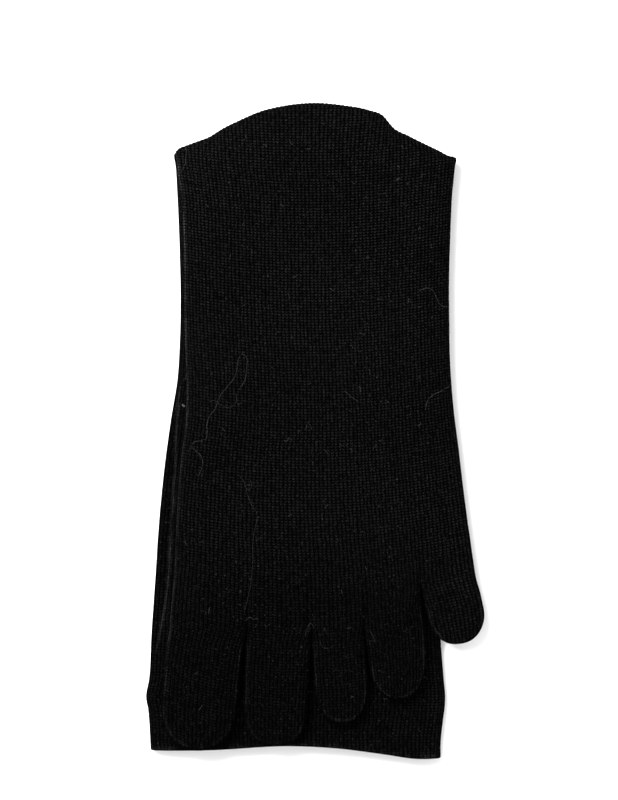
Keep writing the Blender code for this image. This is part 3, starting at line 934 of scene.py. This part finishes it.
class SockColours(bpy.types.PropertyGroup):
    furrow: FloatVectorProperty(
        name="Furrow", description="Yarn in shade", default=(0.00011, 0.00011, 0.00012),
        subtype="COLOR", precision=5,
    )
    crest: FloatVectorProperty(
        name="Crest", description="Yarn on the crests", default=(0.0059, 0.0059, 0.00608),
        subtype="COLOR", precision=5,
    )
    lint: FloatVectorProperty(name="Lint", description="Stray fibres", default=[0.024] * 3, subtype="COLOR")
    floor: FloatVectorProperty(name="Floor", description="Stage floor", default=[0.86] * 3, subtype="COLOR")


class StageSettings(bpy.types.PropertyGroup):
    photo_scale: FloatProperty(
        name="Photo scale", description="Size of one picture pixel at the sock", default=0.000335, precision=6
    )
    camera_height: FloatProperty(
        name="Camera height", description="Height of the camera over the floor", default=1.6, unit="LENGTH"
    )


def even_shares(start, end, length, step):
    count = max(3, round(abs(end - start) * length / step))
    return np.linspace(start, end, count + 1)


def every(shares, keep):
    """Every so many of the shares, with the last one kept."""
    kept = list(shares[::keep])
    return kept if kept[-1] == shares[-1] else [*kept, shares[-1]]


def sizes_of(context):
    """The sizes of the sock, and how many columns go round its tube."""
    sizes = context.scene.toe_sock_sizes
    return sizes, sizes.wales * PER_WALE


def tube_skins(context, row_at, shares, places, ease=1.0):
    """A tube's outer skin with its wales and its smooth inner skin, from a function that gives its rows."""
    sizes, columns = sizes_of(context)
    smooth = np.array([row_at(share, 0.0, columns) for share in shares])
    outer = stitched(wandered(smooth, places, ease * np.ones(len(shares))), sizes)
    return outer, np.array([row_at(share, WALL, columns) for share in every(shares, INNER_EVERY)])


class TOESOCK_OT_foot(bpy.types.Operator):
    """Knit the foot, from the toe roots to the heel"""

    bl_idname = "toe_sock.knit_foot"
    bl_label = "Knit foot"

    def execute(self, context):
        sizes, columns = sizes_of(context)
        shares = even_shares(1.0, HEEL_ON_FOOT / FOOT_LENGTH, FOOT_LENGTH, sizes.row_step)
        places = shares * FOOT_LENGTH
        ease = 1 - fade(FOOT_LENGTH - places, WANDER_FROM_ROOTS)
        skins = tube_skins(context, foot_row, shares, places, ease)
        inward = side_inward(places)
        # Wear and painted highlight along the fold's left edge
        wear_and_highlight = wear_and_highlight_line(columns, inward, SOLE_LINE_WIDTH) * sizes.fold_wear_and_highlight
        wear_and_highlight = wear_and_highlight * (1.0 - 0.5 * shares[:, None] ** 2)  # fainter towards the toes
        # Painted shade where the fold turns down outside the pale line
        painted_shade = painted_shade_beyond_line(columns, inward)
        piece = knit_piece(context, "foot_knit", skins, wear_and_highlight, -1, painted_shade, flat=True)
        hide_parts("foot")
        return {"FINISHED"}


class TOESOCK_OT_heel(bpy.types.Operator):
    """Knit the turned heel round the ankle fold"""

    bl_idname = "toe_sock.knit_heel"
    bl_label = "Knit heel"

    def execute(self, context):
        sizes, columns = sizes_of(context)
        on_foot = even_shares(HEEL_ON_FOOT / FOOT_LENGTH, 0.0, FOOT_LENGTH, sizes.row_step)
        turns = np.linspace(0, 1, FOLD_STEPS + 1)[1:-1]
        on_leg = even_shares(0.0, HEEL_ON_LEG / LEG_LENGTH, LEG_LENGTH, sizes.row_step)

        def skin(inset, keep):
            rows = [foot_row(share, inset, columns) for share in every(on_foot, keep)]
            rows += [fold_row(turn, inset, columns) for turn in turns[:: 1 if keep == 1 else 2]]
            rows += [leg_row(share, inset, columns) for share in every(on_leg, keep)]
            return np.array(rows)

        places = [*(on_foot * FOOT_LENGTH), *(0.0 * turns), *(-on_leg * LEG_LENGTH)]
        outer = stitched(wandered(skin(0.0, 1), places, np.ones(len(places))), sizes)
        on_top = np.array([*np.ones(len(on_foot)), *np.clip(1 - 4 * turns, 0, 1), *(0 * on_leg)])
        inward = side_inward(np.abs(places))
        # Wear and painted highlight along the fold's left edge, on the top layer
        wear_and_highlight = on_top[:, None] * wear_and_highlight_line(columns, inward, LINE_WIDTH) * sizes.fold_wear_and_highlight
        # Painted shade where the fold turns down outside the pale line
        painted_shade = on_top[:, None] * painted_shade_beyond_line(columns, inward)
        skins = (outer, skin(WALL, INNER_EVERY))
        piece = knit_piece(context, "heel_knit", skins, wear_and_highlight, -1, painted_shade)
        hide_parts("heel")
        return {"FINISHED"}


class TOESOCK_OT_leg(bpy.types.Operator):
    """Knit the leg that lies under the foot"""

    bl_idname = "toe_sock.knit_leg"
    bl_label = "Knit leg"

    def execute(self, context):
        sizes, columns = sizes_of(context)
        shares = even_shares(HEEL_ON_LEG / LEG_LENGTH, 1.0, LEG_LENGTH, sizes.row_step)
        skins = tube_skins(context, leg_row, shares, -shares * LEG_LENGTH)
        crease = follow(CREASE_LINE, 1, shares * LEG_LENGTH)[:, None] * HALF_WIDTH
        step = np.interp(shares, *zip(*CREASE_STEP))[:, None]
        # Wear and painted highlight along the crease
        from_crease = (skins[0][:, :, 0] - crease - CREASE_LINE_INSIDE) / CREASE_LINE_WIDTH
        wear_and_highlight = np.exp(-(from_crease**2)) * step * sizes.fold_wear_and_highlight * CREASE_WEAR_AND_HIGHLIGHT
        wear_and_highlight = wear_and_highlight * (np.arange(columns) > columns // 2)  # on the upper layer alone
        piece = knit_piece(context, "leg_knit", skins, wear_and_highlight, 1, under=True)
        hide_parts("leg")
        return {"FINISHED"}


class TOESOCK_OT_cuff(bpy.types.Operator):
    """Knit the cuff, with a rounded edge at the mouth"""

    bl_idname = "toe_sock.knit_cuff"
    bl_label = "Knit cuff"

    def execute(self, context):
        sizes, columns = sizes_of(context)
        shares = even_shares(0.0, 1.0, CUFF_HEIGHT, sizes.row_step / 2)
        skins = tube_skins(context, cuff_row, shares, -LEG_LENGTH - shares * CUFF_HEIGHT)
        turns = np.linspace(0, math.pi, BEAD_STEPS + 1)[1:-1]
        radius = WALL / 2
        bead = [cuff_row(1.0, radius * (1 - math.cos(t)), columns, radius * math.sin(t)) for t in turns]
        # A paler line along the mouth's edge
        from_mouth = (1 - shares[:, None]) * CUFF_HEIGHT / MOUTH_LINE_WIDTH
        wear_and_highlight = np.exp(-(from_mouth**2)) * MOUTH_PALENESS * sizes.fold_wear_and_highlight
        piece = knit_piece(context, "cuff_knit", skins, wear_and_highlight, 1, bead=bead, under=True)
        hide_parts("cuff")
        return {"FINISHED"}


class TOESOCK_OT_toes(bpy.types.Operator):
    """Knit the five toe pockets"""

    bl_idname = "toe_sock.knit_toes"
    bl_label = "Knit toes"

    def execute(self, context):
        sizes, columns = sizes_of(context)
        for place in range(len(TOES)):
            toe = Toe(place, columns)
            steps = round((toe.length - TIP_DISTANCES[0]) / sizes.row_step)
            shares = [step / steps for step in range(steps)]
            smooth, outlines = toe.rows(0.0, columns, shares, TIP_DISTANCES)
            loop = toe.foot_columns(columns)
            first = loop.index(toe.start)
            phase = (toe.start - first + np.arange(len(loop))) / PER_WALE
            gone = np.array([*shares, *([1.0] * len(TIP_DISTANCES))]) * toe.length
            near_root = fade(gone, WANDER_FROM_TOE_ROOT)
            near_tip = fade(toe.length - gone, WANDER_FROM_TIP)
            smooth = wandered(smooth, gone, (1 - near_root) * (1 - near_tip))
            to_end = np.array([*([1.0] * len(shares)), *(min(1.0, gap / FLAT_TIP) for gap in TIP_DISTANCES)])
            outer = stitched(smooth, sizes, phase, -1, to_end[:, None])
            inner, _ = toe.rows(WALL, columns, shares[::INNER_EVERY], TIP_DISTANCES[::3] + (0.0,))
            down_toe = fade(gone, 0.8 * toe.length)[:, None]
            # Seam wear and painted highlight in a line inside each toe's outline
            wear_and_highlight = fade(outlines - TOE_LINE, TOE_LINE_REACH) * by_wale(5, 0.15, 1.0, phase)
            wear_and_highlight = wear_and_highlight * (0.3 + 0.7 * (1 - down_toe)) * TOE_WEAR_AND_HIGHLIGHT
            # Painted shade on the toe's outer band, near its outline
            painted_shade = np.clip((outlines - TOE_PAINTED_SHADE_FROM) / TOE_LINE_REACH, 0, 1) * TOE_PAINTED_SHADE
            if toe.first:
                # The fold's line of wear and painted highlight runs on down the big toe
                line = wear_and_highlight_line(len(loop), first + LINE_INWARD, LINE_WIDTH)
                wear_and_highlight = np.maximum(wear_and_highlight, line * 0.5 * down_toe)
            wear_and_highlight = wear_and_highlight * sizes.fold_wear_and_highlight
            piece = knit_piece(
                context, toe.name + "_knit", (outer, inner), wear_and_highlight, 1, painted_shade,
                first_wale=phase[0], closed_tip=True,
            )
            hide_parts(toe.name)
        return {"FINISHED"}


class TOESOCK_OT_lint(bpy.types.Operator):
    """Lay stray fibres on the sole"""

    bl_idname = "toe_sock.lay_lint"
    bl_label = "Lay lint"

    def execute(self, context):
        colours = context.scene.toe_sock_colours
        scale = context.scene.toe_sock_stage.photo_scale
        below = [
            BVHTree.FromObject(piece, context.evaluated_depsgraph_get())
            for piece in context.scene.objects
            if piece.name.endswith("_knit")
        ]
        chance = np.random.RandomState(12)
        strands = [(points, radius * 1e-6) for radius, points in LONG_FIBRES]
        for _ in range(SMALL_LINT):
            start = np.array([chance.uniform(*LINT_ACROSS), chance.uniform(*LINT_DOWN)])
            turn = chance.uniform(0, 2 * math.pi)
            points = [tuple(start)]
            for _ in range(chance.randint(2, 5)):
                turn += chance.normal(0, LINT_TURN)
                start = start + chance.uniform(*LINT_STEP) * np.array([math.cos(turn), math.sin(turn)])
                points.append(tuple(start))
            strands.append((points, chance.uniform(*LINT_RADIUS)))
        curve = bpy.data.curves.new("lint", "CURVE")
        curve.dimensions = "3D"
        curve.bevel_depth = 1.0
        curve.bevel_resolution = 1
        curve.use_fill_caps = True
        for points, radius in strands:
            line = self.laid(np.array(points), scale, radius, below, chance)
            if len(line) < 2:
                continue
            spline = curve.splines.new("POLY")
            spline.points.add(len(line) - 1)
            for point, place in zip(spline.points, line):
                point.co = (*place, 1.0)
                point.radius = radius
        lint = bpy.data.objects.new("lint", curve)
        context.scene.collection.objects.link(lint)
        select_only(context, lint)
        bpy.ops.object.convert(target="MESH")
        finish = Finish("pale lint")
        where = finish.node("ShaderNodeTexCoord", {}, output="Object")
        noise = finish.node("ShaderNodeTexNoise", {}, Vector=where, Scale=LINT_SCALE, Detail=1.0)
        share = finish.node("ShaderNodeMapRange", {}, noise, 0.35, 0.65, 0.0, 1.0)
        finish.feed_mix(share, [LINT_SHADE * value for value in colours.lint], colours.lint)
        finish.shader.inputs["Roughness"].default_value = 0.8
        lint = context.active_object
        lint.data.materials.append(finish.material)
        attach(lint, BODY)
        return {"FINISHED"}

    def laid(self, points, scale, radius, below, chance):
        """The fibre's points, smoothed and dropped on to the knit."""
        gone = run_lengths(points)
        count = max(4, int(gone[-1] * 1.2))
        even = np.linspace(0, gone[-1], count)
        rows = np.column_stack([gone, points])
        smooth = len(points) > 2
        across, down = (
            follow(rows, axis, even) if smooth else np.interp(even, gone, rows[:, axis]) for axis in (1, 2)
        )
        across = across + chance.normal(0, LINT_WOBBLE, count)
        down = down + chance.normal(0, LINT_WOBBLE, count)
        line = []
        for x, y in zip((across - PICTURE_FOLD[0]) * scale, (FIBRE_FOLD_ROW - down) * scale):
            above = Vector((MIDDLE_X + x, FOLD_Y + y, ABOVE_KNIT))
            hits = [tree.ray_cast(above, Vector((0, 0, -1)))[0] for tree in below]
            hits = [hit.z for hit in hits if hit is not None]
            if not hits:
                return line
            line.append((above.x, above.y, max(hits) + radius * chance.uniform(*LINT_HEIGHT)))
        return line


class TOESOCK_OT_stage(bpy.types.Operator):
    """Set the floor, the soft lights and the camera over the sock"""

    bl_idname = "toe_sock.set_stage"
    bl_label = "Set stage"

    def execute(self, context):
        scene = context.scene
        colours = scene.toe_sock_colours
        stage = scene.toe_sock_stage
        bpy.ops.object.select_all(action="DESELECT")
        bpy.ops.mesh.primitive_plane_add(size=FLOOR_SIZE, location=(0, 0, -FLOOR_DROP))
        floor = context.active_object
        floor.name = "floor"
        finish = Finish("pale floor")
        finish.shader.inputs["Base Color"].default_value = (*colours.floor, 1.0)
        finish.shader.inputs["Roughness"].default_value = 0.8
        floor.data.materials.append(finish.material)
        world = bpy.data.worlds.new("studio")
        world.use_nodes = True
        background = world.node_tree.nodes["Background"].inputs
        background["Color"].default_value = (1, 1, 1, 1)
        background["Strength"].default_value = WORLD_LIGHT
        scene.world = world
        for name, spot, width, power in LIGHTS:
            lamp = bpy.data.lights.new(name, "AREA")
            lamp.size = width
            lamp.energy = power
            holder = bpy.data.objects.new(name, lamp)
            holder.location = spot
            holder.rotation_euler = Vector(spot).to_track_quat("Z", "Y").to_euler()
            scene.collection.objects.link(holder)
        self.set_camera(scene, stage)
        scene.view_settings.view_transform = "Standard"
        return {"FINISHED"}

    def set_camera(self, scene, stage):
        """A camera straight above, so that the fold lies at its place on the picture."""
        lens = bpy.data.cameras.new("camera")
        lens.sensor_width = SENSOR
        camera = bpy.data.objects.new("camera", lens)
        scene.collection.objects.link(camera)
        width, height = PICTURE_SIZE
        x = MIDDLE_X + (width / 2 - PICTURE_FOLD[0]) * stage.photo_scale
        y = FOLD_Y + (PICTURE_FOLD[1] - height / 2) * stage.photo_scale
        camera.location = (x, y, stage.camera_height)
        distance = stage.camera_height - FOLD_HEIGHT
        lens.lens = SENSOR * distance / (height * stage.photo_scale)
        lens.clip_start = 0.1
        lens.clip_end = 10.0
        scene.camera = camera


class TOESOCK_PT_panel(bpy.types.Panel):
    """Lists the steps that make the sock"""

    bl_label = "Toe sock"
    bl_idname = "TOESOCK_PT_panel"
    bl_space_type = "VIEW_3D"
    bl_region_type = "UI"
    bl_category = "Toe sock"

    def draw(self, context):
        for step in STEPS:
            self.layout.operator(step.bl_idname)


STEPS = (
    TOESOCK_OT_stage,
    TOESOCK_OT_cuff,
    TOESOCK_OT_leg,
    TOESOCK_OT_heel,
    TOESOCK_OT_foot,
    TOESOCK_OT_toes,
    TOESOCK_OT_lint,
)
GROUPS = {"toe_sock_sizes": SockSizes, "toe_sock_colours": SockColours, "toe_sock_stage": StageSettings}
CLASSES = (*GROUPS.values(), *STEPS, TOESOCK_PT_panel)


def register():
    for cls in CLASSES:
        bpy.utils.register_class(cls)
    for name, group in GROUPS.items():
        setattr(bpy.types.Scene, name, PointerProperty(type=group))


def unregister():
    for name in GROUPS:
        delattr(bpy.types.Scene, name)
    for cls in reversed(CLASSES):
        bpy.utils.unregister_class(cls)


def main():
    register()
    bpy.ops.toe_sock.set_stage()
    bpy.ops.toe_sock.knit_cuff()
    bpy.ops.toe_sock.knit_leg()
    bpy.ops.toe_sock.knit_heel()
    bpy.ops.toe_sock.knit_foot()
    bpy.ops.toe_sock.knit_toes()
    bpy.ops.toe_sock.lay_lint()


if __name__ == "__main__":
    main()
